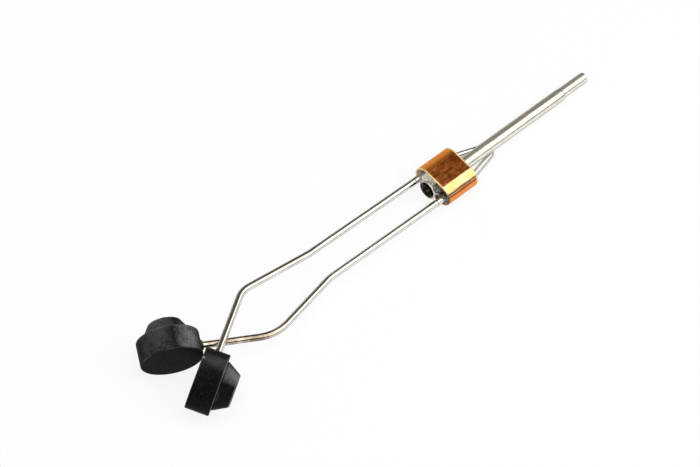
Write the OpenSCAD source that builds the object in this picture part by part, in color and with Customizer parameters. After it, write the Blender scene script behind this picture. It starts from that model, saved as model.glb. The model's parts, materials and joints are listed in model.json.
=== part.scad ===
// Bobbin holder for fly tying: a two-stage thread tube and a springy wire
// hairpin, soldered together in an oval copper ferrule, with a moulded black
// spool cup pressed on each wire end. Millimetres.
// +X runs along the thread tube to its tip, +Z is up from the table it lies on.
// The arms are crossed at rest, the upper over the lower, so the tool lies
// rolled a little to one side, on both cups and one edge of the ferrule.

/* [Resting pose] */
// angle that the tube end dips toward the table
rest_pitch = 2.8; // [0:0.05:6]
// angle that the tool rolls toward the upper cup's side
rest_roll = 10; // [0:0.1:15]
// height of the wires above the table, under the middle of the ferrule
rest_height = 3.06; // [2.5:0.01:4]
// distance from the row's origin forward to the middle of the ferrule
rest_forward = 17.64; // [10:0.01:25]
// distance from the row's origin sideways to the middle of the ferrule
rest_sideways = 0.44; // [-3:0.01:3]

/* [Wire] */
// thickness of the spring wire
wire_diameter = 1.34; // [1:0.02:2]
// distance of each leg from the middle of the ferrule
leg_offset = 3.12; // [2.5:0.01:4]
// distance from the ferrule's middle back to where each arm flexes
flex_back = 6.0; // [5.5:0.1:9]
// running clearance between an arm's ball end and its socket
flex_fit = 0.05; // [0.02:0.01:0.1]

/* [Front loop] */
// angle that the loop dips to pass under the tube
loop_dip = 7.8; // [5:0.1:12]
// length of each straight leg ahead of the ferrule's middle
loop_leg = 3.45; // [2:0.05:5]
// angle that each leg turns in toward the tip of the loop
loop_taper = 14; // [8:0.5:25]
// bend radius where a leg turns down, inside the ferrule
loop_dip_radius = 6.0; // [3:0.1:12]
// bend radius where a leg turns in
loop_turn_radius = 2.0; // [1:0.1:4]

/* [Upper arm] */
// rise of the arm over its length, so that it passes over the lower arm
upper_tilt = 0.84; // [0.5:0.01:2]
// toe-in of the first straight
upper_toe = -0.7; // [-2:0.05:2]
// length of the first straight, to the outward bend
upper_first = 27.4; // [20:0.05:35]
// angle of the outward bend
upper_out_angle = 5.5; // [3:0.05:15]
// length of the second straight, to the inward bend
upper_second = 16.0; // [12:0.05:25]
// angle of the inward bend
upper_in_angle = 36.6; // [25:0.05:50]
// length from the inward bend to the middle of the cup
upper_last = 20.95; // [15:0.05:28]
// bend radius of the inward bend
upper_in_radius = 5.0; // [2:0.1:12]
// twist of the cup about the wire end, nose up
upper_twist = -2.5; // [-10:0.1:10]

/* [Lower arm] */
// drop of the arm over its length, so that it passes under the upper arm
lower_tilt = 0.84; // [0.5:0.01:2]
// toe-in of the first straight
lower_toe = 1.05; // [-2:0.05:2]
// length of the first straight, to the outward bend
lower_first = 27.7; // [20:0.05:35]
// angle of the outward bend
lower_out_angle = 10.9; // [3:0.05:15]
// length of the second straight, to the inward bend
lower_second = 16.45; // [12:0.05:25]
// angle of the inward bend
lower_in_angle = 39.15; // [25:0.05:50]
// length from the inward bend to the middle of the cup
lower_last = 20.35; // [15:0.05:28]
// bend radius of the inward bend
lower_in_radius = 9.0; // [2:0.1:12]
// twist of the cup about the wire end, nose up
lower_twist = 4.5; // [-10:0.1:10]

/* [Both arms] */
// bend radius of the outward bends
out_radius = 6.0; // [2:0.1:12]
// depth that the wire end goes into its cup
wire_seat = 4.2; // [2:0.1:5]

/* [Spool cups] */
// diameter of the cup's disc
disc_diameter = 11.9; // [10:0.1:16]
// thickness of the disc
disc_thickness = 4.75; // [3:0.05:7]
// diameter of the cone where it meets the disc
nose_base_diameter = 9.4; // [7:0.1:12]
// diameter of the cone's flat end
nose_end_diameter = 6.2; // [4:0.1:9]
// height of the cone
nose_height = 3.0; // [2:0.1:5]
// height of the small step that the cone stands on
nose_step = 0.25; // [0.1:0.05:0.6]
// width of the rounded edges
cup_edge = 0.3; // [0.1:0.05:0.6]
// diameter of the collar round the wire
collar_diameter = 2.0; // [1.8:0.1:4]
// height of the collar above the rim
collar_height = 0.35; // [0.2:0.05:1]
// clearance of the wire in its hole
seat_fit = 0.01; // [0:0.01:0.03]

/* [Thread tube] */
// height of the tube above the wires in the ferrule
tube_rise = 0.45; // [0:0.05:1]
// outside diameter of the thread tube
tube_diameter = 2.24; // [1.5:0.02:3]
// bore of the thread tube
tube_bore = 1.6; // [0.8:0.02:2.4]
// distance from the ferrule's middle forward to the tip
tube_reach = 38.5; // [30:0.5:55]
// width of the polished edge at the tip
tip_edge = 0.12; // [0.05:0.01:0.2]
// distance from the ferrule's middle back to the start of the flare
flare_start = 3.3; // [2:0.05:5]
// length of the flare
flare_length = 2.05; // [1:0.05:4]
// diameter over the lip of the flare
flare_diameter = 4.1; // [3:0.1:5]
// thickness of the rolled lip
lip_thickness = 0.36; // [0.3:0.02:0.6]

/* [Sleeve] */
// outside diameter of the sleeve
sleeve_diameter = 2.64; // [2.2:0.02:4]
// distance from the ferrule's middle forward to the sleeve's end
sleeve_reach = 31.6; // [20:0.1:45]
// distance from the ferrule's middle forward to the sleeve's hidden end
sleeve_root = 0.6; // [0:0.1:3]
// width of the broken edge at the sleeve's end
sleeve_edge = 0.08; // [0.02:0.01:0.2]
// clearance between the tube and the sleeve drawn over it
sleeve_fit = 0.02; // [0.01:0.01:0.05]
// distance that the sleeve's outside lies off the tube's middle, to one side
sleeve_offset = 0.08; // [0:0.01:0.15]

/* [Ferrule] */
// length of the ferrule along the tube
ferrule_length = 7.9; // [6:0.1:14]
// distance that the ferrule sits ahead of its nominal middle
ferrule_shift = 0; // [-1:0.05:1]
// width of the ferrule
ferrule_width = 9.5; // [6:0.1:12]
// height of the ferrule
ferrule_height = 5.0; // [4:0.1:8]
// thickness of the copper
ferrule_wall = 0.35; // [0.2:0.05:0.8]
// height of the ferrule's middle above the wires
ferrule_rise = 0.05; // [-0.5:0.05:0.5]

/* [Solder] */
// depth of the solder's face inside the ends of the ferrule
solder_recess = 0.35; // [0:0.05:1.5]
// clearance of the solder round what it holds
solder_fit = 0.01; // [0:0.01:0.03]
// radius of the smallest solder bead
bead_radius = 0.5; // [0.3:0.05:1]

/* [Hidden] */
$fn = 96;
wire_r = wire_diameter / 2;
tube_r = tube_diameter / 2;
bore_r = tube_bore / 2;
tube_wall = tube_r - bore_r;
sleeve_r = sleeve_diameter / 2;
disc_r = disc_diameter / 2;
flare_r = flare_diameter / 2;
lip_r = lip_thickness / 2;
// each straight is this much thinner than the bends that it runs into
weld_step = wire_diameter / 700;
weld_length = wire_diameter / 30;
// centreline of the flare's horn, an arc that leaves the tube tangentially
horn_grow = flare_r - lip_r - (tube_r + bore_r) / 2;
horn_half = atan(horn_grow / flare_length);
horn_radius = flare_length / sin(2 * horn_half);
horn_centre = (tube_r + bore_r) / 2 + horn_radius;
// centreline radius of the loop's tip, as wide as the wire needs
loop_radius = wire_diameter * 0.9;
loop_tip_leg = (leg_offset - loop_radius * cos(loop_taper)) / sin(loop_taper);
solder_length = ferrule_length - 2 * solder_recess;
// the tool's two colours of metal, and the black plastic
steel = [0.72, 0.72, 0.70];
bright_steel = [0.82, 0.82, 0.80];
copper = [0.72, 0.36, 0.16];
solder_grey = [0.60, 0.60, 0.58];
cup_black = [0.06, 0.06, 0.065];

// places the tool on the table as it rests
module at_rest() {
  translate([rest_forward, rest_sideways, rest_height])
  rotate([rest_roll, rest_pitch, 0])
  children();
}

// turns a shape drawn up +Z to run along the tube
module along_tube() {
  translate([0, 0, tube_rise])
  rotate([0, 90, 0])
  children();
}

// oval outline of the ferrule, exact arcs and flats
module oval(width, height) {
  half_flat = (width - height) / 2;
  union() {
    translate([-half_flat, 0]) circle(d = height);
    translate([half_flat, 0]) circle(d = height);
    square([2 * half_flat, height], center = true);
  }
}

module oval_bar(width, height, length) {
  translate([ferrule_shift - length / 2, 0, ferrule_rise])
  rotate([90, 0, 90])
  linear_extrude(height = length)
  oval(width, height);
}

// straight length along +X
module straight(length, r) {
  rotate([0, 90, 0])
  cylinder(h = length, r = r);
}

// straight length of wire along +X, let into the bends at the ends named
module wire_straight(length, r, at_start, at_end) {
  lead = at_start ? weld_length : 0;
  tail = at_end ? weld_length : 0;
  translate([-lead, 0, 0])
  straight(length + lead + tail, r - weld_step);
}

// straight length of wire along +X, with a ball end round the origin
module wire_from_ball(length, r) {
  ball_r = r - weld_step;
  rotate([0, 90, 0])
  rotate_extrude()
  union() {
    intersection() {
      circle(r = ball_r);
      translate([0, -ball_r]) square([ball_r, 2 * ball_r]);
    }
    square([ball_r, length + weld_length]);
  }
}

// bend of the wire from the origin along +X, turning by angle toward +Y
module wire_bend(angle, radius, r) {
  turn = abs(angle);
  mirror([0, angle < 0 ? 1 : 0, 0])
  translate([0, radius, 0])
  rotate([0, 0, -90])
  rotate_extrude(angle = turn)
  translate([radius, 0])
  circle(r = r);
}

// carries its children to the end of a bend
module after_bend(angle, radius) {
  side = angle < 0 ? -1 : 1;
  translate([radius * sin(abs(angle)), side * radius * (1 - cos(angle)), 0])
  rotate([0, 0, angle])
  children();
}

// centreline of an arm behind its flex point, along +X, outward is +Y
module arm_wire(first, out, second, in, in_radius, last, r) {
  t_out = out_radius * tan(out / 2);
  t_in = in_radius * tan(in / 2);
  wire_from_ball(first - t_out, r);
  translate([first - t_out, 0, 0]) {
    wire_bend(out, out_radius, r);
    after_bend(out, out_radius) {
      wire_straight(second - t_out - t_in, r, true, true);
      translate([second - t_out - t_in, 0, 0]) {
        wire_bend(-in, in_radius, r);
        after_bend(-in, in_radius)
        wire_straight(last - t_in - disc_r + wire_seat, r, true, false);
      }
    }
  }
}

// carries its children to the middle of an arm's cup, with the wire along +X
module at_cup(first, out, second, in, last) {
  translate([first, 0, 0])
  rotate([0, 0, out])
  translate([second, 0, 0])
  rotate([0, 0, -in])
  translate([last, 0, 0])
  children();
}

// frames of the two arms: the local +X runs back, the local +Y runs outward
module upper_frame() {
  translate([-flex_back, leg_offset, 0])
  rotate([0, upper_tilt, 0])
  mirror([1, 0, 0])
  rotate([0, 0, -upper_toe])
  children();
}

module lower_frame() {
  translate([-flex_back, -leg_offset, 0])
  rotate([0, -lower_tilt, 0])
  rotate([0, 0, 180])
  rotate([0, 0, -lower_toe])
  children();
}

// moulded cup about the origin, nose along -Y, wire hole from -X
module cup() {
  half = disc_thickness / 2;
  nose_base_r = nose_base_diameter / 2;
  nose_end_r = nose_end_diameter / 2;
  difference() {
    union() {
      rotate([90, 0, 0])
      rotate_extrude()
      union() {
        // disc with rounded edges
        translate([0, -half]) square([disc_r - cup_edge, disc_thickness]);
        translate([0, cup_edge - half]) square([disc_r, disc_thickness - 2 * cup_edge]);
        translate([disc_r - cup_edge, cup_edge - half]) circle(r = cup_edge);
        translate([disc_r - cup_edge, half - cup_edge]) circle(r = cup_edge);
        // step and cone that enter the spool
        translate([0, half - cup_edge]) square([nose_base_r, nose_step + cup_edge]);
        polygon([[0, half], [nose_base_r, half + nose_step],
                 [nose_end_r + cup_edge / 2, half + nose_height - cup_edge / 3],
                 [nose_end_r - cup_edge / 2, half + nose_height],
                 [0, half + nose_height]]);
      }
      // collar round the wire
      translate([-disc_r - collar_height, 0, 0])
      straight(disc_r, collar_diameter / 2);
    }
    translate([-disc_r - 2 * collar_height, 0, 0])
    straight(wire_seat + 2 * collar_height + seat_fit, wire_r + seat_fit);
  }
}

// one leg of the hairpin's fixed middle, from its socket into the loop
module loop_leg_wire(r) {
  taper_cut = loop_turn_radius * tan(loop_taper / 2);
  dip_cut = loop_dip_radius * tan(loop_dip / 2);
  translate([-flex_back, leg_offset, 0])
  wire_straight(flex_back - dip_cut, r, false, true);
  translate([-dip_cut, leg_offset, 0])
  rotate([-90, 0, 0])
  wire_bend(loop_dip, loop_dip_radius, r);
  rotate([0, loop_dip, 0])
  translate([dip_cut, leg_offset, 0]) {
    wire_straight(loop_leg - taper_cut - dip_cut, r, true, true);
    translate([loop_leg - taper_cut - dip_cut, 0, 0]) {
      wire_bend(-loop_taper, loop_turn_radius, r);
      after_bend(-loop_taper, loop_turn_radius)
      wire_straight(loop_tip_leg - taper_cut, r, true, true);
    }
  }
}

// the hairpin's fixed middle: the front loop and both legs
module hairpin(r) {
  loop_leg_wire(r);
  mirror([0, 1, 0]) loop_leg_wire(r);
  rotate([0, loop_dip, 0])
  translate([loop_leg, leg_offset, 0])
  rotate([0, 0, -loop_taper])
  translate([loop_tip_leg, 0, 0])
  wire_bend(2 * loop_taper - 180, loop_radius, r);
}

module wire_loop() {
  color(bright_steel)
  at_rest()
  difference() {
    hairpin(wire_r);
    translate([-flex_back, leg_offset, 0]) sphere(r = wire_r + flex_fit);
    translate([-flex_back, -leg_offset, 0]) sphere(r = wire_r + flex_fit);
  }
}

module upper_arm() {
  color(bright_steel)
  at_rest()
  upper_frame()
  arm_wire(upper_first, upper_out_angle, upper_second, upper_in_angle,
           upper_in_radius, upper_last, wire_r);
}

module lower_arm() {
  color(bright_steel)
  at_rest()
  lower_frame()
  arm_wire(lower_first, lower_out_angle, lower_second, lower_in_angle,
           lower_in_radius, lower_last, wire_r);
}

module upper_cup() {
  color(cup_black)
  at_rest()
  upper_frame()
  at_cup(upper_first, upper_out_angle, upper_second, upper_in_angle, upper_last)
  rotate([-upper_twist, 0, 0])
  cup();
}

module lower_cup() {
  color(cup_black)
  at_rest()
  lower_frame()
  at_cup(lower_first, lower_out_angle, lower_second, lower_in_angle, lower_last)
  rotate([-lower_twist, 0, 0])
  cup();
}

// outline of the thread tube's wall, from the flared mouth to the tip
module tube_section() {
  bare_from = sleeve_reach + sleeve_fit;
  // drawn down a little where it fills the sleeve, full size ahead of it
  translate([bore_r, -flare_start])
  square([tube_wall - sleeve_fit, bare_from + flare_start]);
  translate([bore_r, bare_from])
  square([tube_wall, tube_reach - bare_from - tip_edge]);
  polygon([[bore_r, tube_reach - tip_edge], [tube_r, tube_reach - tip_edge],
           [tube_r - tip_edge / 2, tube_reach], [bore_r + tip_edge / 2, tube_reach]]);
  intersection() {
    translate([horn_centre, -flare_start])
    difference() {
      circle(r = horn_radius + tube_wall / 2);
      circle(r = horn_radius - tube_wall / 2);
    }
    translate([0, -flare_start - flare_length])
    square([horn_centre, flare_length]);
  }
  translate([flare_r - lip_r, -flare_start - flare_length])
  circle(r = lip_r);
}

module thread_tube() {
  color(steel)
  at_rest()
  along_tube()
  rotate_extrude()
  tube_section();
}

module tube_sleeve() {
  color(steel)
  at_rest()
  along_tube()
  difference() {
    translate([0, -sleeve_offset, sleeve_root])
    rotate_extrude()
    polygon([[0, 0], [sleeve_r, 0],
             [sleeve_r, sleeve_reach - sleeve_root - sleeve_edge],
             [sleeve_r - sleeve_edge, sleeve_reach - sleeve_root],
             [0, sleeve_reach - sleeve_root]]);
    translate([0, 0, sleeve_root - tube_wall])
    cylinder(h = sleeve_reach - sleeve_root + 2 * tube_wall, r = tube_r);
  }
}

module ferrule() {
  color(copper)
  at_rest()
  difference() {
    oval_bar(ferrule_width, ferrule_height, ferrule_length);
    oval_bar(ferrule_width - 2 * ferrule_wall, ferrule_height - 2 * ferrule_wall,
             ferrule_length + 2 * ferrule_wall);
  }
}

// beads of solder on the back face: [back, side, up, size] as shares of the bead radius
bead_shares = [[0.1, -4.9, 1.6, 1.5], [0.2, -3.2, 2.6, 1.7], [0.1, -1.2, 3.0, 1.5],
               [0.2, 1.4, 2.9, 1.8], [0.3, 3.4, 2.4, 1.6], [0.1, 5.2, 1.5, 1.5],
               [0.1, 4.6, -1.9, 1.6], [0.1, -4.5, -1.8, 1.7], [0.2, 2.9, -2.7, 1.5],
               [0.1, -2.6, -2.8, 1.5], [0.0, 0.2, -3.0, 1.5]];

module solder_fill() {
  back_face = ferrule_shift - solder_length / 2;
  front_face = ferrule_shift + solder_length / 2;
  color(solder_grey)
  at_rest()
  difference() {
    union() {
      oval_bar(ferrule_width - 2 * ferrule_wall - 2 * solder_fit,
               ferrule_height - 2 * ferrule_wall - 2 * solder_fit, solder_length);
      // fillets round the legs, the neck of the mouth and the sleeve
      for (side = [-1, 1]) {
        translate([back_face, side * leg_offset * 0.97, 0])
        rotate([0, -90, 0])
        cylinder(h = bead_radius * 1.9, r1 = wire_r * 1.15, r2 = wire_r * 1.08);
        translate([front_face, side * leg_offset * 0.96, -bead_radius])
        sphere(r = wire_r * 1.15);
      }
      translate([front_face, 0, tube_rise])
      rotate([0, 90, 0])
      cylinder(h = bead_radius, r1 = sleeve_r * 1.4, r2 = sleeve_r * 1.12);
      for (b = bead_shares)
        translate([back_face - b[0] * bead_radius, b[1] * bead_radius,
                   b[2] * bead_radius + ferrule_rise])
        sphere(r = b[3] * bead_radius * 0.62);
    }
    hairpin(wire_r + solder_fit);
    // clears the sleeve, the tube and the whole horn of the mouth
    along_tube()
    translate([0, -sleeve_offset, sleeve_root - solder_fit])
    cylinder(h = sleeve_reach, r = sleeve_r + solder_fit);
    along_tube()
    rotate_extrude()
    union() {
      translate([0, -flare_start])
      square([tube_r - sleeve_fit + solder_fit, tube_reach]);
      difference() {
        translate([0, -flare_start - 2 * flare_length])
        square([horn_centre, 2 * flare_length]);
        translate([horn_centre, -flare_start])
        circle(r = horn_radius - tube_wall / 2 - solder_fit);
      }
    }
  }
}

thread_tube();
tube_sleeve();
ferrule();
solder_fill();
wire_loop();
upper_arm();
lower_arm();
upper_cup();
lower_cup();
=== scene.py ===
"""Fly tying bobbin holder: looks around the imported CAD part. Lengths are in metres."""
import json
import math

import bmesh
import bpy
import numpy as np
from mathutils import Matrix, Vector, noise


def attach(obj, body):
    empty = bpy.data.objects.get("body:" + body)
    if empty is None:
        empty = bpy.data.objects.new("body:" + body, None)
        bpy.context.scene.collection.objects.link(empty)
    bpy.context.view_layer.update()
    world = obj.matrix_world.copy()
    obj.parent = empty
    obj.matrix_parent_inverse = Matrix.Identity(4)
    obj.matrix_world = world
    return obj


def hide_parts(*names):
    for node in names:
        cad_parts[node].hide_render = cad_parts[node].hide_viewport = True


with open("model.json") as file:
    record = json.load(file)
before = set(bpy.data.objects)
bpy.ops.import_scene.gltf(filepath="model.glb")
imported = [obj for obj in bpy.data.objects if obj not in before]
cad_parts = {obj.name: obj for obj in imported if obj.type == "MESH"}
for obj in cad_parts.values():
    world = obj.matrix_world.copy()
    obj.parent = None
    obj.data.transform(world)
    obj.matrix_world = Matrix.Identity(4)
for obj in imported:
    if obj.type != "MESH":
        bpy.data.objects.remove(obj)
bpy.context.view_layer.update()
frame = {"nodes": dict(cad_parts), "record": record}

nodes = frame["nodes"]
record = frame["record"]
scene = bpy.context.scene

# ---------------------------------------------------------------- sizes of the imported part
MM = 0.001
# reaches are from the ferrule's middle, and rises from the plane of the wire's legs
TUBE_REACH = 38.5 * MM
TUBE_RISE = 0.45 * MM
TUBE_R = 1.12 * MM
SLEEVE_REACH = 31.6 * MM
SLEEVE_OFFSET = 0.03 * MM
FERRULE_LENGTH = 7.9 * MM
FERRULE_WIDTH = 9.5 * MM
FERRULE_HEIGHT = 5.0 * MM
FERRULE_WALL = 0.35 * MM
FERRULE_RISE = 0.05 * MM
LEG_OFFSET = 3.12 * MM
WIRE_R = 0.67 * MM
DISC_R = 5.95 * MM
DISC_HALF = 2.375 * MM
NOSE_HEIGHT = 3.0 * MM
NOSE_BASE_R = 4.7 * MM
NOSE_END_R = 3.1 * MM

# ---------------------------------------------------------------- frames
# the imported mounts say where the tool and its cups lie
mounts = {m["name"]: m for m in record["mounts"]}


def mount_pos(name):
    return Vector(mounts[name]["pos_m"])


def mount_axis(name):
    return Vector(mounts[name]["axis"]).normalized()


def basis(x, y, z, origin):
    """Matrix that carries local x, y and z to the directions given, at the origin given."""
    m = Matrix((x, y, z)).transposed().to_4x4()
    m.translation = origin
    return m


# x runs to the tube's tip, z out of the ferrule's upper flat
tool_x = mount_axis("thread_bore")
tool_z = mount_axis("finger_flat_top")
tool_z = (tool_z - tool_x * tool_z.dot(tool_x)).normalized()
tool_y = tool_z.cross(tool_x)
tool_middle = mount_pos("tube_tip") - tool_x * TUBE_REACH - tool_z * TUBE_RISE
TOOL = basis(tool_x, tool_y, tool_z, tool_middle)
TUBE_AXIS = TOOL @ Vector((0, 0, TUBE_RISE))


def cup_frame(side):
    """Frame of a cup: z along its nose, x along the wire into it, origin at the disc's middle."""
    z = mount_axis(side + "_spool_nose")
    centre = mount_pos(side + "_spool_nose") - z * (DISC_HALF + NOSE_HEIGHT)
    co = np.array([v.co for v in nodes[side + "_cup"].data.vertices]) - np.array(centre)
    flat = co - np.outer(co @ np.array(z), np.array(z))
    reach = np.linalg.norm(flat, axis=1)
    # the collar round the wire is what reaches furthest
    out = Vector(flat[reach > reach.max() - 0.01 * MM].mean(axis=0))
    x = -(out - z * out.dot(z)).normalized()
    return basis(x, z.cross(x), z, centre)


# ---------------------------------------------------------------- mesh helpers
MERGE_DISTANCE = 1e-7


def new_object(name, verts, faces, uvs=None, smooth_angle=40):
    """Object from points and faces, with coinciding points merged and sharp edges by angle."""
    mesh = bpy.data.meshes.new(name)
    mesh.from_pydata([tuple(v) for v in verts], [], faces)
    if uvs is not None:
        layer = mesh.uv_layers.new(name="surface")
        for loop in mesh.loops:
            layer.data[loop.index].uv = uvs[loop.vertex_index]
    mesh.update()
    obj = bpy.data.objects.new(name, mesh)
    scene.collection.objects.link(obj)
    bm = bmesh.new()
    bm.from_mesh(mesh)
    bmesh.ops.remove_doubles(bm, verts=bm.verts, dist=MERGE_DISTANCE)
    bmesh.ops.recalc_face_normals(bm, faces=bm.faces)
    bm.to_mesh(mesh)
    bm.free()
    for poly in mesh.polygons:
        poly.use_smooth = True
    mesh.set_sharp_from_angle(angle=math.radians(smooth_angle))
    return obj


def arc(centre, radius, start, end, count):
    """Points on an arc, angles in degrees."""
    points = []
    for k in range(count + 1):
        a = math.radians(start + (end - start) * k / count)
        points.append((centre[0] + radius * math.cos(a), centre[1] + radius * math.sin(a)))
    return points


def ring_faces(rings, steps):
    """Quads between neighbouring rings of points."""
    faces = []
    for j in range(rings - 1):
        a, b = j * steps, (j + 1) * steps
        for i in range(steps):
            k = (i + 1) % steps
            faces.append((a + i, a + k, b + k, b + i))
    return faces


def lathe(name, profile, place, steps=128, wear_and_highlight=None, smooth_angle=40):
    """Revolves (radius, height) points round local z. A radius of zero closes an end.
    wear_and_highlight gives each point's share of rubbed edge and painted highlight, kept as the v
    of the surface map."""
    verts, uvs = [], []
    for j, (r, h) in enumerate(profile):
        for i in range(steps):
            a = 2 * math.pi * i / steps
            verts.append(place @ Vector((r * math.cos(a), r * math.sin(a), h)))
            uvs.append((i / steps, wear_and_highlight[j] if wear_and_highlight else 0))
    return new_object(name, verts, ring_faces(len(profile), steps), uvs, smooth_angle)


def put(obj, mat):
    obj.data.materials.clear()
    obj.data.materials.append(mat)


# ---------------------------------------------------------------- shader helpers
def material(name):
    """New material with its node tree and its Principled shader."""
    m = bpy.data.materials.new(name)
    m.use_nodes = True
    return m, m.node_tree, m.node_tree.nodes["Principled BSDF"]


def empty_material(name):
    """New material with its node tree, which holds no node yet."""
    m = bpy.data.materials.new(name)
    m.use_nodes = True
    m.node_tree.nodes.clear()
    return m, m.node_tree


def node(tree, kind, **values):
    n = tree.nodes.new(kind)
    for key, value in values.items():
        setattr(n, key, value)
    return n


def feed(tree, value, socket):
    """Links another node's socket, or sets a number, a vector or an (r, g, b) colour."""
    if isinstance(value, bpy.types.NodeSocket):
        tree.links.new(value, socket)
    elif socket.type == "RGBA":
        socket.default_value = (*value, 1)
    else:
        socket.default_value = value


def noise_value(tree, coords, scale, detail, rough=0.55, distort=0.0):
    """Noise of about 0.3 to 0.7; the scale is in features per metre."""
    n = node(tree, "ShaderNodeTexNoise")
    n.inputs["Scale"].default_value = scale
    n.inputs["Detail"].default_value = detail
    n.inputs["Roughness"].default_value = rough
    n.inputs["Distortion"].default_value = distort
    tree.links.new(coords, n.inputs["Vector"])
    return n.outputs["Fac"]


def ramp(tree, source, stops):
    """Colour ramp over a 0..1 value; stops are (position, (r, g, b))."""
    n = node(tree, "ShaderNodeValToRGB")
    ends = n.color_ramp.elements
    while len(ends) < len(stops):
        ends.new(0.5)
    for e, (pos, colour) in zip(ends, stops):
        e.position = pos
        e.color = (*colour, 1)
    tree.links.new(source, n.inputs["Fac"])
    return n.outputs["Color"]


def remap(tree, source, low, high, to_low, to_high):
    """Carries low..high to to_low..to_high, held at both ends."""
    n = node(tree, "ShaderNodeMapRange")
    n.inputs["From Min"].default_value = low
    n.inputs["From Max"].default_value = high
    n.inputs["To Min"].default_value = to_low
    n.inputs["To Max"].default_value = to_high
    tree.links.new(source, n.inputs["Value"])
    return n.outputs["Result"]


def mix_colour(tree, factor, a, b):
    """a where the factor is 0, b where it is 1; each is a colour or a socket."""
    n = node(tree, "ShaderNodeMix", data_type="RGBA")
    for key, value in ((0, factor), (6, a), (7, b)):
        feed(tree, value, n.inputs[key])
    return n.outputs[2]


def mix_value(tree, factor, a, b):
    """a where the factor is 0, b where it is 1; each is a number or a socket."""
    n = node(tree, "ShaderNodeMix", data_type="FLOAT")
    for key, value in ((0, factor), (2, a), (3, b)):
        feed(tree, value, n.inputs[key])
    return n.outputs[0]


def combine(tree, operation, a, b, clamp=False):
    n = node(tree, "ShaderNodeMath", operation=operation, use_clamp=clamp)
    feed(tree, a, n.inputs[0])
    feed(tree, b, n.inputs[1])
    return n.outputs[0]


def vector_math(tree, operation, a, b=(0, 0, 0)):
    """a and b are vectors or sockets. A dot product gives a number, all else a vector."""
    n = node(tree, "ShaderNodeVectorMath", operation=operation)
    feed(tree, a, n.inputs[0])
    feed(tree, b, n.inputs[1])
    return n.outputs["Value" if operation == "DOT_PRODUCT" else "Vector"]


def bump(tree, shader, height, distance, strength=1.0, after=None):
    n = node(tree, "ShaderNodeBump")
    n.inputs["Distance"].default_value = distance
    n.inputs["Strength"].default_value = strength
    tree.links.new(height, n.inputs["Height"])
    if after is not None:
        tree.links.new(after, n.inputs["Normal"])
    tree.links.new(n.outputs["Normal"], shader.inputs["Normal"])
    return n.outputs["Normal"]


def object_coords(tree):
    return node(tree, "ShaderNodeTexCoord").outputs["Object"]


def object_normal(tree):
    return node(tree, "ShaderNodeTexCoord").outputs["Normal"]


def surface_v(tree):
    """The v of the surface map, which says how rubbed an edge is and how much painted highlight it
    carries.
    """
    uv = node(tree, "ShaderNodeUVMap", uv_map="surface")
    split = node(tree, "ShaderNodeSeparateXYZ")
    tree.links.new(uv.outputs["UV"], split.inputs["Vector"])
    return split.outputs["Y"]


def aligned(tree, direction, scale):
    """Object coordinates turned so that local x follows the direction given, then scaled."""
    turn = Vector(direction).to_track_quat("X", "Z").inverted().to_euler()
    rotate = node(tree, "ShaderNodeMapping")
    rotate.inputs["Rotation"].default_value = turn
    stretch = node(tree, "ShaderNodeMapping")
    stretch.inputs["Scale"].default_value = scale
    tree.links.new(object_coords(tree), rotate.inputs["Vector"])
    tree.links.new(rotate.outputs["Vector"], stretch.inputs["Vector"])
    return stretch.outputs["Vector"]


def distance_along(tree, direction, start, end, origin=TOOL.translation):
    """0..1 ramp between two distances along a direction, from the tool's middle if not said."""
    away = vector_math(tree, "SUBTRACT", object_coords(tree), origin)
    return remap(tree, vector_math(tree, "DOT_PRODUCT", away, direction), start, end, 0, 1)


def faces_toward(tree, direction, low, high):
    """0..1 ramp of how far a surface faces the direction given."""
    unit = Vector(direction).normalized()
    dot = vector_math(tree, "DOT_PRODUCT", object_normal(tree), unit)
    return remap(tree, dot, low, high, 0, 1)


def faces_inward(tree, origin, direction):
    """1 where a surface faces the axis given, as in a bore, else 0."""
    away = vector_math(tree, "SUBTRACT", object_coords(tree), origin)
    on_axis = vector_math(tree, "PROJECT", away, direction)
    outward = vector_math(tree, "NORMALIZE", vector_math(tree, "SUBTRACT", away, on_axis))
    dot = vector_math(tree, "DOT_PRODUCT", outward, object_normal(tree))
    return remap(tree, dot, -0.35, -0.15, 1, 0)


# ---------------------------------------------------------------- steel
WIRE_BASE, WIRE_STAIN = (0.88, 0.87, 0.84), (0.67, 0.65, 0.61)
LOOP_BASE, LOOP_STAIN = (0.83, 0.84, 0.86), (0.60, 0.61, 0.63)
TUBE_BASE, TUBE_STAIN = (0.87, 0.84, 0.76), (0.71, 0.67, 0.58)
PIT_BROWN = (0.22, 0.19, 0.16)
STEEL_BROWN_RAMP = [(0.35, (0.26, 0.215, 0.17)), (0.65, (0.80, 0.72, 0.63))]
# painted shade for the wall of the tube's bore
BORE_PAINTED_SHADE = (0.045, 0.038, 0.030)
# colour of the painted dark reflection on the wires
STEEL_PAINTED_DARK_REFLECTION = (0.235, 0.22, 0.205)
STEEL_EDGE_TINT = (0.22, 0.21, 0.19)
# the way the wires' painted dark reflection faces
PAINTED_DARK_SIDE = (0, 0.6, 0.8)
# (start, end) distances back along the tool from the ferrule's middle
UPPER_PAINTED_DARK = (31.5 * MM, 80 * MM)
LOWER_PAINTED_DARK = (33 * MM, 48 * MM)
LOWER_BROWN_END = (46.5 * MM, 51 * MM)


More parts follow.
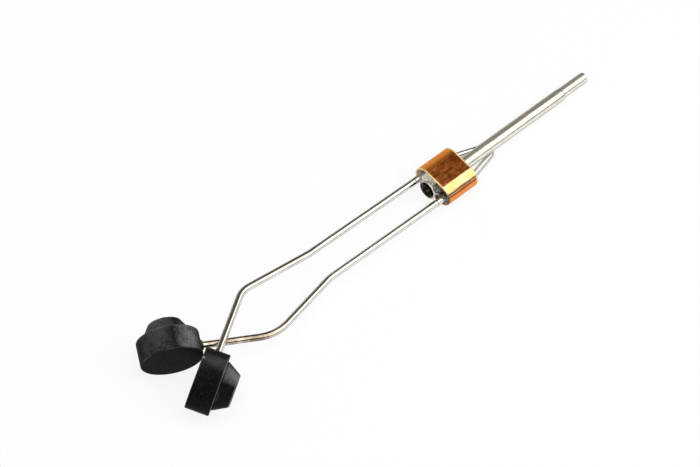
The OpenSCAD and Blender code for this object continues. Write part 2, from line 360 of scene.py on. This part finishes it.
def steel(name, base, stain, rough=(0.10, 0.24), metallic=1.0, brown_end=None, shaded_bore=None, darkened=None):
    """Polished drawn steel: lengthwise draw lines, cloudy staining, a few small pits.
    brown_end is a (start, end) back along the tool over which the steel turns brown, shaded_bore
    the (origin, direction) of a bore whose wall gets painted shade, darkened a (start, end) back
    along the tool between which the wire gets a painted dark reflection on both sides of its
    crest."""
    m, t, s = material(name)
    lines = noise_value(t, aligned(t, tool_x, (0.03, 1, 1)), 5200, 3)
    clouds = noise_value(t, object_coords(t), 420, 5, 0.6, 0.4)
    pits = noise_value(t, object_coords(t), 5200, 2, 0.5)
    colour = mix_colour(t, remap(t, clouds, 0.42, 0.72, 0, 0.75), base, stain)
    colour = mix_colour(t, remap(t, pits, 0.70, 0.78, 0, 0.6), colour, PIT_BROWN)
    if brown_end:
        brown = ramp(t, clouds, STEEL_BROWN_RAMP)
        colour = mix_colour(t, distance_along(t, -tool_x, *brown_end), colour, brown)
    # painted shade: the wall of the bore is darker
    if shaded_bore:
        colour = mix_colour(t, faces_inward(t, *shaded_bore), colour, BORE_PAINTED_SHADE)
    # painted dark reflection: over a stretch of wire, a band on each side of the crest is darker
    if darkened:
        start, end = darkened
        past_start = distance_along(t, -tool_x, start - 2.5 * MM, start + 2.5 * MM)
        past_end = distance_along(t, -tool_x, end - 1.5 * MM, end + 1.5 * MM)
        stretch = mix_value(t, past_end, past_start, 0)
        # the crest itself, which faces that side squarely, stays bright, without the painted dark
        # reflection
        crest = faces_toward(t, PAINTED_DARK_SIDE, 0.80, 0.88)
        band = mix_value(t, crest, faces_toward(t, PAINTED_DARK_SIDE, 0.44, 0.60), 0)
        colour = mix_colour(t, mix_value(t, stretch, 0, band), colour, STEEL_PAINTED_DARK_REFLECTION)
    feed(t, colour, s.inputs["Base Color"])
    s.inputs["Metallic"].default_value = metallic
    # the sides that turn away from the eye go darker
    feed(t, STEEL_EDGE_TINT, s.inputs["Specular Tint"])
    feed(t, remap(t, lines, 0.3, 0.7, *rough), s.inputs["Roughness"])
    bump(t, s, lines, 0.002 * MM, 0.2)
    return m


wire_steel = steel("wire_steel", WIRE_BASE, WIRE_STAIN, darkened=UPPER_PAINTED_DARK)
loop_steel = steel("loop_steel", LOOP_BASE, LOOP_STAIN)
# the lower arm's end, from its inward bend to the cup, is coloured brown
lower_wire_steel = steel("lower_wire_steel", WIRE_BASE, WIRE_STAIN, (0.07, 0.18),
                         brown_end=LOWER_BROWN_END, darkened=LOWER_PAINTED_DARK)
tube_steel = steel("tube_steel", TUBE_BASE, TUBE_STAIN, (0.14, 0.28), metallic=0.84,
                   shaded_bore=(TUBE_AXIS, tool_x))

# ---------------------------------------------------------------- copper
COPPER_TARNISH = [
    (0.36, (0.54, 0.112, 0.022)),
    (0.50, (0.69, 0.198, 0.048)),
    (0.64, (0.80, 0.310, 0.092)),
]
COPPER_PAINTED_HIGHLIGHT = [(0.36, (0.97, 0.52, 0.20)), (0.60, (1.0, 0.70, 0.45))]
COPPER_SWIRL = (0.42, 0.100, 0.020)
COPPER_SIDE_PAINTED_REFLECTION = (0.80, 0.35, 0.145)
COPPER_PAINTED_DARK_REFLECTION = (0.34, 0.052, 0.008)
COPPER_FLECK = (0.30, 0.080, 0.025)
COPPER_SATIN_PAINTED_HIGHLIGHT = (1.0, 0.36, 0.055)
COPPER_RIM_PAINTED_HIGHLIGHT = (1.0, 0.70, 0.33)
COPPER_DARK_RIM = (0.16, 0.075, 0.035)
COPPER_EDGE_TINT = (1.0, 0.60, 0.28)


def copper_material():
    """Hand-polished copper: red-brown swirls of tarnish over bright orange metal, faint rub lines,
    a painted highlight along its rims and on one shoulder, a painted dark reflection just below
    that shoulder and a paler painted reflection on that side, satin with a painted highlight on
    the other shoulder, and dark on the rim at its lower back."""
    m, t, s = material("copper")
    wide = noise_value(t, object_coords(t), 330, 5, 0.60, 2.6)
    swirl = noise_value(t, object_coords(t), 720, 4, 0.55, 3.2)
    fine = noise_value(t, object_coords(t), 2600, 4, 0.6)
    rub = noise_value(t, aligned(t, tool_x, (0.08, 1, 1)), 3400, 3)
    rim = surface_v(t)

    foot = faces_toward(t, -tool_z * 0.10 - tool_y, 0.78, 0.88)
    below = faces_toward(t, tool_z * 0.66 - tool_y * 0.75, 0.970, 0.990)
    shoulder = faces_toward(t, tool_z * 0.89 - tool_y * 0.45, 0.900, 0.925)
    satin_and_highlight = faces_toward(t, tool_z * 0.87 + tool_y * 0.5, 0.866, 0.99)
    dust_and_sheen = faces_toward(t, tool_z * 0.77 + tool_y * 0.64, 0.90, 0.985)
    back_end = distance_along(t, -tool_x, 3.0 * MM, 3.5 * MM)
    low_side = distance_along(t, -tool_y, 3.2 * MM, 4.1 * MM)
    dark_rim = mix_value(t, rim, 0, mix_value(t, back_end, 0, low_side))

    colour = ramp(t, wide, COPPER_TARNISH)
    colour = mix_colour(t, remap(t, swirl, 0.50, 0.68, 0, 0.55), colour, COPPER_SWIRL)
    # painted reflection: the side that faces -y is paler
    colour = mix_colour(t, remap(t, foot, 0, 1, 0, 0.85), colour, COPPER_SIDE_PAINTED_REFLECTION)
    # painted dark reflection in a thin band just below that shoulder
    colour = mix_colour(t, below, colour, COPPER_PAINTED_DARK_REFLECTION)
    colour = mix_colour(t, remap(t, fine, 0.62, 0.76, 0, 0.30), colour, COPPER_FLECK)
    # painted highlight, bright orange, on the satin shoulder that faces up and to +y
    colour = mix_colour(t, remap(t, satin_and_highlight, 0, 1, 0, 0.85), colour, COPPER_SATIN_PAINTED_HIGHLIGHT)
    # painted highlight on the shoulder that faces up and to -y
    colour = mix_colour(t, shoulder, colour, ramp(t, wide, COPPER_PAINTED_HIGHLIGHT))
    # painted highlight along the rims
    colour = mix_colour(t, rim, colour, COPPER_RIM_PAINTED_HIGHLIGHT)
    colour = mix_colour(t, dark_rim, colour, COPPER_DARK_RIM)
    feed(t, colour, s.inputs["Base Color"])
    # the rims, and the side that faces up and to +y, are less metallic, so their painted colours
    # show as a highlight and a sheen
    feed(t, mix_value(t, rim, mix_value(t, dust_and_sheen, 1, 0.45), 0.35), s.inputs["Metallic"])
    # the sides that turn away from the eye stay orange
    feed(t, COPPER_EDGE_TINT, s.inputs["Specular Tint"])
    polished = remap(t, rub, 0.3, 0.7, 0.13, 0.24)
    feed(t, mix_value(t, satin_and_highlight, polished, 0.46), s.inputs["Roughness"])
    first = bump(t, s, swirl, 0.006 * MM, 0.4)
    bump(t, s, rub, 0.002 * MM, 0.2, first)
    return m


# ---------------------------------------------------------------- solder
SOLDER_MOTTLED = [
    (0.42, (0.035, 0.030, 0.026)),
    (0.50, (0.42, 0.41, 0.38)),
    (0.58, (0.90, 0.90, 0.88)),
]
SOLDER_PAINTED_HIGHLIGHT = (1.0, 0.99, 0.92)
SOLDER_DARK_SIDE = (0.045, 0.036, 0.028)
SOLDER_CORNER = (0.050, 0.036, 0.026)
SOLDER_SPOT = (0.055, 0.044, 0.034)


def solder_material():
    """Tinned solder: a painted highlight, pale and little metallic, on one side; dark on the
    other.
    """
    m, t, s = material("solder")
    wide = noise_value(t, object_coords(t), 900, 5, 0.6, 0.6)
    fine = noise_value(t, object_coords(t), 4200, 3, 0.6)
    highlit_side = distance_along(t, tool_y, -0.6 * MM, 1.0 * MM)
    darkened = distance_along(t, -tool_y, 0.6 * MM, 1.6 * MM)
    corner = distance_along(t, tool_y, 2.5 * MM, 3.1 * MM)
    colour = ramp(t, wide, SOLDER_MOTTLED)
    # painted highlight: one side is pale and little metallic
    colour = mix_colour(t, remap(t, highlit_side, 0, 1, 0, 0.94), colour, SOLDER_PAINTED_HIGHLIGHT)
    colour = mix_colour(t, remap(t, darkened, 0, 1, 0, 0.68), colour, SOLDER_DARK_SIDE)
    colour = mix_colour(t, remap(t, corner, 0, 1, 0, 0.75), colour, SOLDER_CORNER)
    colour = mix_colour(t, remap(t, wide, 0.40, 0.47, 0.8, 0), colour, SOLDER_SPOT)
    feed(t, colour, s.inputs["Base Color"])
    feed(t, remap(t, highlit_side, 0, 1, 1, 0.22), s.inputs["Metallic"])
    feed(t, remap(t, fine, 0.3, 0.7, 0.12, 0.40), s.inputs["Roughness"])
    first = bump(t, s, wide, 0.16 * MM, 0.8)
    bump(t, s, fine, 0.02 * MM, 0.5, first)
    return m


SEAM_RESIDUE = [(0.35, (0.05, 0.042, 0.033)), (0.65, (0.17, 0.15, 0.12))]


def seam_material():
    """Dark residue that sits in the step where the sleeve ends."""
    m, t, s = material("seam")
    cloud = noise_value(t, object_coords(t), 3000, 3, 0.6)
    feed(t, ramp(t, cloud, SEAM_RESIDUE), s.inputs["Base Color"])
    s.inputs["Roughness"].default_value = 0.55
    bump(t, s, cloud, 0.01 * MM, 0.5)
    return m


# ---------------------------------------------------------------- plastic
PLASTIC_BLACK = [(0.35, (0.0025, 0.0025, 0.0026)), (0.68, (0.0055, 0.0055, 0.0057))]
# painted sheen on the sides that face right and up
PLASTIC_PAINTED_SHEEN = [(0.35, (0.055, 0.055, 0.056)), (0.68, (0.140, 0.140, 0.143))]
SPECK_DARK = (0.024, 0.024, 0.025)
SPECK_PALE = (0.30, 0.30, 0.305)
NIB_GREY = [(0.35, (0.12, 0.12, 0.12)), (0.65, (0.34, 0.34, 0.33))]
# the facings that get dust and a painted sheen
DUST_AND_SHEEN_RIGHT = (0.45, -0.45, 0.77)
DUST_AND_SHEEN_TOP = (-0.2, 0.5, 0.84)


def plastic_material():
    """Matt black moulding: a fine grain with pale rubbed specks, paler still where dust can lie, a
    painted sheen on the sides that face right and up, and edges rubbed pale with a painted
    highlight."""
    m, t, s = material("cup_plastic")
    grain = noise_value(t, object_coords(t), 2600, 4, 0.75)
    cloud = noise_value(t, object_coords(t), 420, 4, 0.55, 0.3)
    dust = noise_value(t, object_coords(t), 3900, 3, 0.65)
    # dust and a painted sheen where the plastic faces right and up
    right_side = faces_toward(t, DUST_AND_SHEEN_RIGHT, 0.865, 1.0)
    top_side = remap(t, faces_toward(t, DUST_AND_SHEEN_TOP, 0.66, 0.98), 0, 1, 0, 0.62)
    dust_and_sheen = combine(t, "MAXIMUM", right_side, top_side)
    tone = mix_colour(t, dust_and_sheen, ramp(t, cloud, PLASTIC_BLACK), ramp(t, cloud, PLASTIC_PAINTED_SHEEN))
    speck = mix_colour(t, dust_and_sheen, SPECK_DARK, SPECK_PALE)
    colour = mix_colour(t, remap(t, dust, 0.52, 0.70, 0, 0.85), tone, speck)
    patchy = remap(t, cloud, 0.38, 0.66, 0.15, 0.85)
    # rubbed edges, pale with a painted highlight
    rubbed_and_highlit = combine(t, "MULTIPLY", surface_v(t), patchy, clamp=True)
    feed(t, mix_colour(t, rubbed_and_highlit, colour, SPECK_PALE), s.inputs["Base Color"])
    s.inputs["Specular IOR Level"].default_value = 0.025
    feed(t, remap(t, grain, 0.3, 0.7, 0.42, 0.66), s.inputs["Roughness"])
    bump(t, s, grain, 0.05 * MM, 0.8)
    return m


def nib_material():
    """Torn plastic, paler than the moulding."""
    m, t, s = material("nib_plastic")
    torn = noise_value(t, object_coords(t), 5000, 3, 0.6)
    feed(t, ramp(t, torn, NIB_GREY), s.inputs["Base Color"])
    s.inputs["Roughness"].default_value = 0.6
    return m


copper = copper_material()
solder = solder_material()
plastic = plastic_material()

put(nodes["wire_loop"], loop_steel)
put(nodes["upper_arm"], wire_steel)
put(nodes["lower_arm"], lower_wire_steel)
for name in ("thread_tube", "tube_sleeve"):
    put(nodes[name], tube_steel)


# ---------------------------------------------------------------- cups
# share of rubbed edge and painted highlight over the disc's front and back edges
EDGE_WEAR_AND_HIGHLIGHT = (0, 0.1, 0.6, 1.0, 0.4, 0, 0)
BACK_WEAR_AND_HIGHLIGHT = (0, 0.1, 0.35, 0.7, 0.35, 0.1, 0)
CUP_EDGE = 0.22 * MM
COLLAR_BORE_R = 0.70 * MM
COLLAR_REACH = DISC_R + 0.35 * MM
COLLAR_ROOT = DISC_R - 1.2 * MM


def cup(side):
    """Moulded cup as a closed lathe shape: disc with rounded edges, short step, tapered nose."""
    place = cup_frame(side)
    edge, step, foot = CUP_EDGE, 0.25 * MM, 0.12 * MM
    base, end, top = NOSE_BASE_R, NOSE_END_R, DISC_HALF + NOSE_HEIGHT
    slope = Vector((end - base, NOSE_HEIGHT - step)).normalized()
    tip = Vector((end, top))
    cone_foot = (base, DISC_HALF + step)
    back_edge = arc((DISC_R - edge, edge - DISC_HALF), edge, -90, -10, 6)
    front_edge = arc((DISC_R - edge, DISC_HALF - edge), edge, 10, 90, 6)
    # ((radius, height), share of rubbed edge and painted highlight), from the middle of the back
    # to the middle of the nose
    rows = [
        ((0, -DISC_HALF), 0),
        ((3 * MM, -DISC_HALF), 0),
        ((DISC_R - 2 * edge, -DISC_HALF), 0),
        *zip(back_edge, BACK_WEAR_AND_HIGHLIGHT),
        ((DISC_R, edge * 1.6 - DISC_HALF), 0),
        ((DISC_R, DISC_HALF - edge * 1.6), 0),
        *zip(front_edge, EDGE_WEAR_AND_HIGHLIGHT),
        ((DISC_R - 2 * edge, DISC_HALF), 0),
        ((base + foot, DISC_HALF), 0),
        ((base + foot / 4, DISC_HALF + foot / 4), 0),
        ((base, DISC_HALF + foot), 0),
        (cone_foot, 0.1),
        ((base - 0.06 * MM, DISC_HALF + step + 0.07 * MM), 0.1),
        (tuple(Vector(cone_foot) + slope * 0.3 * MM), 0),
        (tuple(tip - slope * 0.45 * MM), 0),
        (tuple(tip - slope * 0.28 * MM), 0.5),
        (tuple(tip - slope * 0.12 * MM - Vector((0.03 * MM, 0))), 1),
        ((end - 0.1 * MM, top - 0.03 * MM), 1),
        ((end - 0.25 * MM, top), 0.4),
        ((end - 0.6 * MM, top), 0),
        ((0, top), 0),
    ]
    points, wear_and_highlight = zip(*rows)
    moulding = lathe(side + "_cup_moulding", points, place, steps=160, wear_and_highlight=wear_and_highlight, smooth_angle=35)
    return moulding, place


# collar round the wire, a short tapered boss: (radius, distance from the disc's axis), share of
# rubbed edge and painted highlight
COLLAR = [
    ((COLLAR_BORE_R, COLLAR_ROOT), 0),
    ((1.10 * MM, COLLAR_ROOT), 0),
    ((1.03 * MM, DISC_R + 0.05 * MM), 0),
    ((0.98 * MM, COLLAR_REACH - 0.12 * MM), 0),
    ((0.90 * MM, COLLAR_REACH - 0.02 * MM), 0.5),
    ((0.80 * MM, COLLAR_REACH), 0.5),
    ((COLLAR_BORE_R, COLLAR_REACH - 0.04 * MM), 0),
    ((COLLAR_BORE_R, COLLAR_ROOT), 0),
]

for side in ("upper", "lower"):
    moulding, place = cup(side)
    put(moulding, plastic)
    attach(moulding, side + "_wire_arm")
    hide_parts(side + "_cup")
    collar_place = place @ Matrix.Rotation(math.radians(-90), 4, "Y")
    collar_points, collar_wear_and_highlight = zip(*COLLAR)
    collar = lathe(side + "_cup_collar", collar_points, collar_place, steps=48, wear_and_highlight=collar_wear_and_highlight)
    put(collar, plastic)
    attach(collar, side + "_wire_arm")

# pale moulding nib on the upper cup's rim, a flat bead
NIB_TURN = math.radians(260)
NIB_HEIGHT = -2.08 * MM
NIB_SUNK = 0.05 * MM
NIB_R, NIB_HALF = 0.30 * MM, 0.091 * MM
nib_place = cup_frame("upper") @ Matrix.Rotation(NIB_TURN, 4, "Z")
nib_place = nib_place @ Matrix.Translation((DISC_R - NIB_SUNK, 0, NIB_HEIGHT))
nib_place = nib_place @ Matrix.Rotation(math.radians(90), 4, "Y")
nib_angles = np.linspace(math.pi, 0, 9)
nib_profile = [(max(NIB_R * math.sin(a), 0), NIB_HALF * math.cos(a)) for a in nib_angles]
nib = lathe("upper_cup_nib", nib_profile, nib_place, steps=24, wear_and_highlight=[1] * len(nib_profile))
put(nib, nib_material())
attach(nib, "upper_wire_arm")


# ---------------------------------------------------------------- ferrule
SOFT_CORNER = 0.25 * MM
HALF_FLAT = (FERRULE_WIDTH - FERRULE_HEIGHT) / 2 - SOFT_CORNER
FERRULE_POINTS = 160
ROLLED_EDGE = 0.12 * MM
DENT_SCALE = 420
DENT_DEPTH = 0.030 * MM
DENT_FLOOR = 0.018 * MM


def stadium(radius, count):
    """Points on the ferrule's oval at the half height given, with their outward directions. The
    corners are drawn out a little, so the top starts to turn before it reaches the round."""
    out = []
    per_arc, per_flat = count * 3 // 8, count // 8
    wide = radius + SOFT_CORNER
    for sign in (1, -1):
        for k in range(per_arc):
            a = math.radians(-90 + 180 * k / per_arc)
            x, y = sign * math.cos(a), sign * math.sin(a)
            n = Vector((x / wide, y / radius)).normalized()
            out.append(((sign * HALF_FLAT + wide * x, radius * y), n))
        for k in range(per_flat):
            y = sign * HALF_FLAT * (1 - 2 * k / per_flat)
            out.append(((y, sign * radius), (0, sign)))
    return out


def ferrule():
    """Copper band: wall profile with rolled edges, carried round the oval, with faint dents."""
    half, e = FERRULE_LENGTH / 2, ROLLED_EDGE
    # (along the tool, depth below the outside), from the back over the outside and round
    profile = [(x, 0.0) for x in (-half + e, -half + 1.6 * e)]
    profile += [(x, 0.0) for x in np.linspace(-half + 2.4 * e, half - 3.2 * e, 31)]
    profile += [(x, 0.0) for x in (half - 2.4 * e, half - e)]
    profile += [(half - e + e * math.sin(a), -e + e * math.cos(a)) for a in (0.4, 0.8, 1.2)]
    profile += [(half, -FERRULE_WALL + e), (half - e * 0.7, -FERRULE_WALL)]
    profile += [(x, -FERRULE_WALL) for x in np.linspace(half - 0.6 * MM, -half + 0.6 * MM, 5)]
    profile += [(-half + e * 0.7, -FERRULE_WALL), (-half, -FERRULE_WALL + e)]
    profile += [(-half + e - e * math.sin(a), -e + e * math.cos(a)) for a in (1.2, 0.8, 0.4)]
    verts, uvs = [], []
    for x, depth in profile:
        # the v of the surface map marks the rims, which the copper gives a painted highlight
        on_rim = depth > -FERRULE_WALL and (x > half - 2.6 * e or x < 1.7 * e - half)
        ring = stadium(FERRULE_HEIGHT / 2 + depth, FERRULE_POINTS)
        for k, ((y, z), n) in enumerate(ring):
            p = Vector((x, y, z + FERRULE_RISE))
            dent = noise.noise(p * DENT_SCALE) * DENT_DEPTH - DENT_FLOOR
            p += Vector((0, n[0], n[1])) * min(dent, 0)
            verts.append(TOOL @ p)
            uvs.append((k / FERRULE_POINTS, 1 if on_rim else 0))
    # the last ring joins the first
    n_ring, total = len(ring), len(verts)
    faces = [tuple(i % total for i in f) for f in ring_faces(len(profile) + 1, n_ring)]
    return new_object("copper_ferrule", verts, faces, uvs, smooth_angle=60)


band = ferrule()
put(band, copper)
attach(band, "holder")
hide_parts("ferrule")

# ---------------------------------------------------------------- solder ends
SOLDER_POINTS = 192
SOLDER_RINGS = 44
SOLDER_LEVEL = FERRULE_LENGTH / 2 - 0.32 * MM
SOLDER_SKIRT = 1.2 * MM
SOLDER_OVERLAP = 0.02 * MM
EDGE_CALM, EDGE_RISE = 0.75, 0.20 * MM
BACK_BORE_R = TUBE_R - 0.10 * MM
FRONT_BORE_R = 1.2 * MM
# (height, features per metre)
SOLDER_LUMPS = ((0.30 * MM, 900), (0.16 * MM, 2300))
LEG_CLIMB, LEG_SPREAD = 0.75 * MM, 0.35 * MM
TUBE_CLIMB_BACK, TUBE_CLIMB_FRONT, TUBE_SPREAD = 0.80 * MM, 0.55 * MM, 0.45 * MM
TUBE_WETTED_R = 1.0 * MM


def fillet(gap, climb, spread):
    """Height of solder beside a surface that it wets, at a gap from that surface."""
    return climb * math.exp(-max(gap, 0) / spread)


def solder_height(y, z, back):
    """How far the solder stands proud of its flat level at a point of the ferrule's end."""
    p = Vector((y, z, 0.02 if back else -0.02))
    height = sum(size * noise.noise(p * scale) for size, scale in SOLDER_LUMPS)
    for leg in (LEG_OFFSET, -LEG_OFFSET):
        height += fillet(math.hypot(y - leg, z) - WIRE_R, LEG_CLIMB, LEG_SPREAD)
    tube_climb = TUBE_CLIMB_BACK if back else TUBE_CLIMB_FRONT
    to_tube = math.hypot(y, z - TUBE_RISE) - TUBE_WETTED_R
    return height + fillet(to_tube, tube_climb, TUBE_SPREAD)


def solder_end(name, back):
    """Lumpy face of solder in one end of the ferrule, from the tube out to the copper."""
    inner_r = BACK_BORE_R if back else FRONT_BORE_R
    outer = stadium(FERRULE_HEIGHT / 2 - FERRULE_WALL + SOLDER_OVERLAP, SOLDER_POINTS)
    sign = -1 if back else 1
    verts = []
    # the last ring goes back into the ferrule, behind the one before it
    for j in range(SOLDER_RINGS + 2):
        f = min(j / SOLDER_RINGS, 1)
        # over the outer ninth the face grows calmer, up to the copper
        edge = max(0.0, 1 - (1 - f) * 9)
        for (y, z), _ in outer:
            z0 = z + FERRULE_RISE
            a = math.atan2(z0 - TUBE_RISE, y)
            y_in, z_in = inner_r * math.cos(a), TUBE_RISE + inner_r * math.sin(a)
            yy, zz = y_in + (y - y_in) * f, z_in + (z0 - z_in) * f
            if j > SOLDER_RINGS:
                h = -SOLDER_SKIRT
            else:
                h = solder_height(yy, zz, back) * (1 - EDGE_CALM * edge) + EDGE_RISE * edge
            verts.append(TOOL @ Vector((sign * (SOLDER_LEVEL + h), yy, zz)))
    return new_object(name, verts, ring_faces(SOLDER_RINGS + 2, len(outer)), smooth_angle=80)


for name, back in (("solder_back", True), ("solder_front", False)):
    face = solder_end(name, back)
    put(face, solder)
    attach(face, "holder")
    if back:
        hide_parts("solder_fill")

# ---------------------------------------------------------------- sleeve end
# (radius, distance past the sleeve's end), a closed ring
SEAM_RING = [
    (1.05 * MM, -0.10 * MM),
    (1.235 * MM, -0.10 * MM),
    (1.235 * MM, 0.04 * MM),
    (1.20 * MM, 0.13 * MM),
    (1.13 * MM, 0.20 * MM),
    (1.05 * MM, 0.20 * MM),
    (1.05 * MM, -0.10 * MM),
]
sleeve_end = TUBE_AXIS + tool_x * SLEEVE_REACH - tool_y * SLEEVE_OFFSET
seam = lathe("sleeve_end_seam", SEAM_RING, basis(tool_y, tool_z, tool_x, sleeve_end), steps=96)
put(seam, seam_material())
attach(seam, "holder")

# ---------------------------------------------------------------- floor and world
FLOOR_HALF = 3.0
FLOOR_SIGNS = ((-1, -1), (1, -1), (1, 1), (-1, 1))
PAPER_WHITE = (0.95, 0.95, 0.95)
FILM_CLEAR = 0.86
WORLD_FILL = 0.30
WORLD_SEEN = 1.0
SHOWN = ("Is Camera Ray", "Is Glossy Ray", "Is Transmission Ray")


def seen_directly(tree):
    """1 for a camera, glossy or transmission ray, else 0."""
    path = node(tree, "ShaderNodeLightPath")
    total = path.outputs[SHOWN[0]]
    for name in SHOWN[1:]:
        total = combine(tree, "ADD", total, path.outputs[name], clamp=True)
    return total


def mix_shader(tree, factor, a, b):
    """a where the factor is 0, b where it is 1; a and b are nodes."""
    n = node(tree, "ShaderNodeMixShader")
    feed(tree, factor, n.inputs["Fac"])
    tree.links.new(a.outputs[0], n.inputs[1])
    tree.links.new(b.outputs[0], n.inputs[2])
    return n


def floor_material():
    """White drafting film: plain diffuse to the light. The eye sees a soft shadow on it, the white
    world through it, and an arm that has swung down past it."""
    m, t = empty_material("floor")
    paper = node(t, "ShaderNodeBsdfDiffuse")
    feed(t, PAPER_WHITE, paper.inputs["Color"])
    film = mix_shader(t, FILM_CLEAR, paper, node(t, "ShaderNodeBsdfTransparent"))
    pick = mix_shader(t, seen_directly(t), paper, film)
    out = node(t, "ShaderNodeOutputMaterial")
    t.links.new(pick.outputs[0], out.inputs["Surface"])
    return m


floor_corners = [(x * FLOOR_HALF, y * FLOOR_HALF, 0) for x, y in FLOOR_SIGNS]
floor_mesh = bpy.data.meshes.new("floor")
floor_mesh.from_pydata(floor_corners, [], [(0, 1, 2, 3)])
floor = bpy.data.objects.new("floor", floor_mesh)
scene.collection.objects.link(floor)
floor.data.materials.append(floor_material())

world = bpy.data.worlds.new("studio")
scene.world = world
world.use_nodes = True
world_tree = world.node_tree
world_tree.nodes.clear()


def white_background(strength):
    n = node(world_tree, "ShaderNodeBackground")
    feed(world_tree, (1, 1, 1), n.inputs["Color"])
    n.inputs["Strength"].default_value = strength
    return n


world_mix = mix_shader(world_tree, seen_directly(world_tree),
                       white_background(WORLD_FILL), white_background(WORLD_SEEN))
world_out = node(world_tree, "ShaderNodeOutputWorld")
world_tree.links.new(world_mix.outputs[0], world_out.inputs["Surface"])

# ---------------------------------------------------------------- camera
WIDTH = 700
ELEVATION = math.radians(52.472)
HEADING = math.radians(43.715)
DISTANCE = 0.6
PIXELS_PER_M = 5200.0
SENSOR = 36.0
CLIP_START = 0.01
LOOK_AT = Vector((-3.871 * MM, 4.938 * MM, 0))
upright = Vector((0, 0, 1))
right = Vector((math.cos(HEADING), -math.sin(HEADING), 0))
ahead = Vector((math.sin(HEADING), math.cos(HEADING), 0))
view_dir = ahead * math.cos(ELEVATION) - upright * math.sin(ELEVATION)
up = ahead * math.sin(ELEVATION) + upright * math.cos(ELEVATION)
# half a pixel between the centre of the picture and the centre of its pixels
half_pixel = 0.5 / PIXELS_PER_M
target = LOOK_AT + (up - right) * half_pixel

camera_data = bpy.data.cameras.new("camera")
camera_data.sensor_width = SENSOR
camera_data.lens = SENSOR * PIXELS_PER_M * DISTANCE / WIDTH
camera_data.clip_start = CLIP_START
camera = bpy.data.objects.new("camera", camera_data)
scene.collection.objects.link(camera)
camera.matrix_world = basis(right, up, -view_dir, target - view_dir * DISTANCE)
scene.camera = camera


# ---------------------------------------------------------------- light
def area_light(name, position, size, power):
    """Rectangle of light aimed at the origin, which reflections don't see."""
    data = bpy.data.lights.new(name, "AREA")
    data.shape = "RECTANGLE"
    data.size, data.size_y = size
    data.energy = power
    obj = bpy.data.objects.new(name, data)
    scene.collection.objects.link(obj)
    z = position.normalized()
    obj.matrix_world = basis(right, z.cross(right), z, position)
    obj.visible_glossy = False


# one large softbox overhead, leaning to the camera's side, and a second to the camera's right
area_light("softbox", -ahead * 0.16 + right * 0.25 + upright * 0.80, (1.6, 0.85), 7.6)
area_light("side_softbox", right * 0.95 - ahead * 0.35 + upright * 0.70, (1.0, 0.70), 3.6)

DOME_RADIUS = 1.6
DOME_STEPS = 24


def patch(name, turns, tilts, colour):
    """Part of the studio that only reflections see, on a dome. A turn is the angle from the view's
    heading, 0 dead ahead and 180 behind the camera; a tilt is the angle round that heading, 0 at
    the right horizon, 90 overhead and 180 at the left horizon."""
    verts, faces = [], []
    row = DOME_STEPS + 1
    for j in range(row):
        tilt = math.radians(tilts[0] + (tilts[1] - tilts[0]) * j / DOME_STEPS)
        side = right * math.cos(tilt) + upright * math.sin(tilt)
        for i in range(row):
            turn = math.radians(turns[0] + (turns[1] - turns[0]) * i / DOME_STEPS)
            verts.append((ahead * math.cos(turn) + side * math.sin(turn)) * DOME_RADIUS)
    for j in range(DOME_STEPS):
        for i in range(DOME_STEPS):
            a = j * row + i
            faces.append((a, a + 1, a + row + 1, a + row))
    obj = new_object(name, verts, faces)
    m, t = empty_material(name)
    glow = node(t, "ShaderNodeEmission")
    feed(t, [c / max(colour) for c in colour], glow.inputs["Color"])
    glow.inputs["Strength"].default_value = max(colour)
    out = node(t, "ShaderNodeOutputMaterial")
    t.links.new(glow.outputs[0], out.inputs["Surface"])
    put(obj, m)
    obj.visible_camera = False
    obj.visible_diffuse = False
    obj.visible_shadow = False
    obj.visible_transmission = False


# what polished metal mirrors: the dark room ahead, the softboxes, and dark low down, to the left
# and behind
SOFTBOX_GLOW = (1.85, 1.76, 1.55)
FAR_DARK = (0.118, 0.110, 0.090)
LOW_DARK = (0.10, 0.09, 0.07)
patch("room_far", (2, 68), (62, 179.5), FAR_DARK)
patch("room_right", (2, 48), (0.5, 62), FAR_DARK)
patch("softbox_face", (68, 132), (20, 112), SOFTBOX_GLOW)
patch("side_softbox_face", (48, 68), (20, 62), SOFTBOX_GLOW)
patch("room_right_low", (48, 70), (1, 20), LOW_DARK)
patch("room_low", (70, 132), (1, 20), LOW_DARK)
patch("room_left", (71, 178), (112, 179.5), (0.12, 0.115, 0.10))
patch("room_behind", (132, 178), (1, 112), (0.10, 0.085, 0.07))

# ---------------------------------------------------------------- view settings
scene.view_settings.view_transform = "Standard"
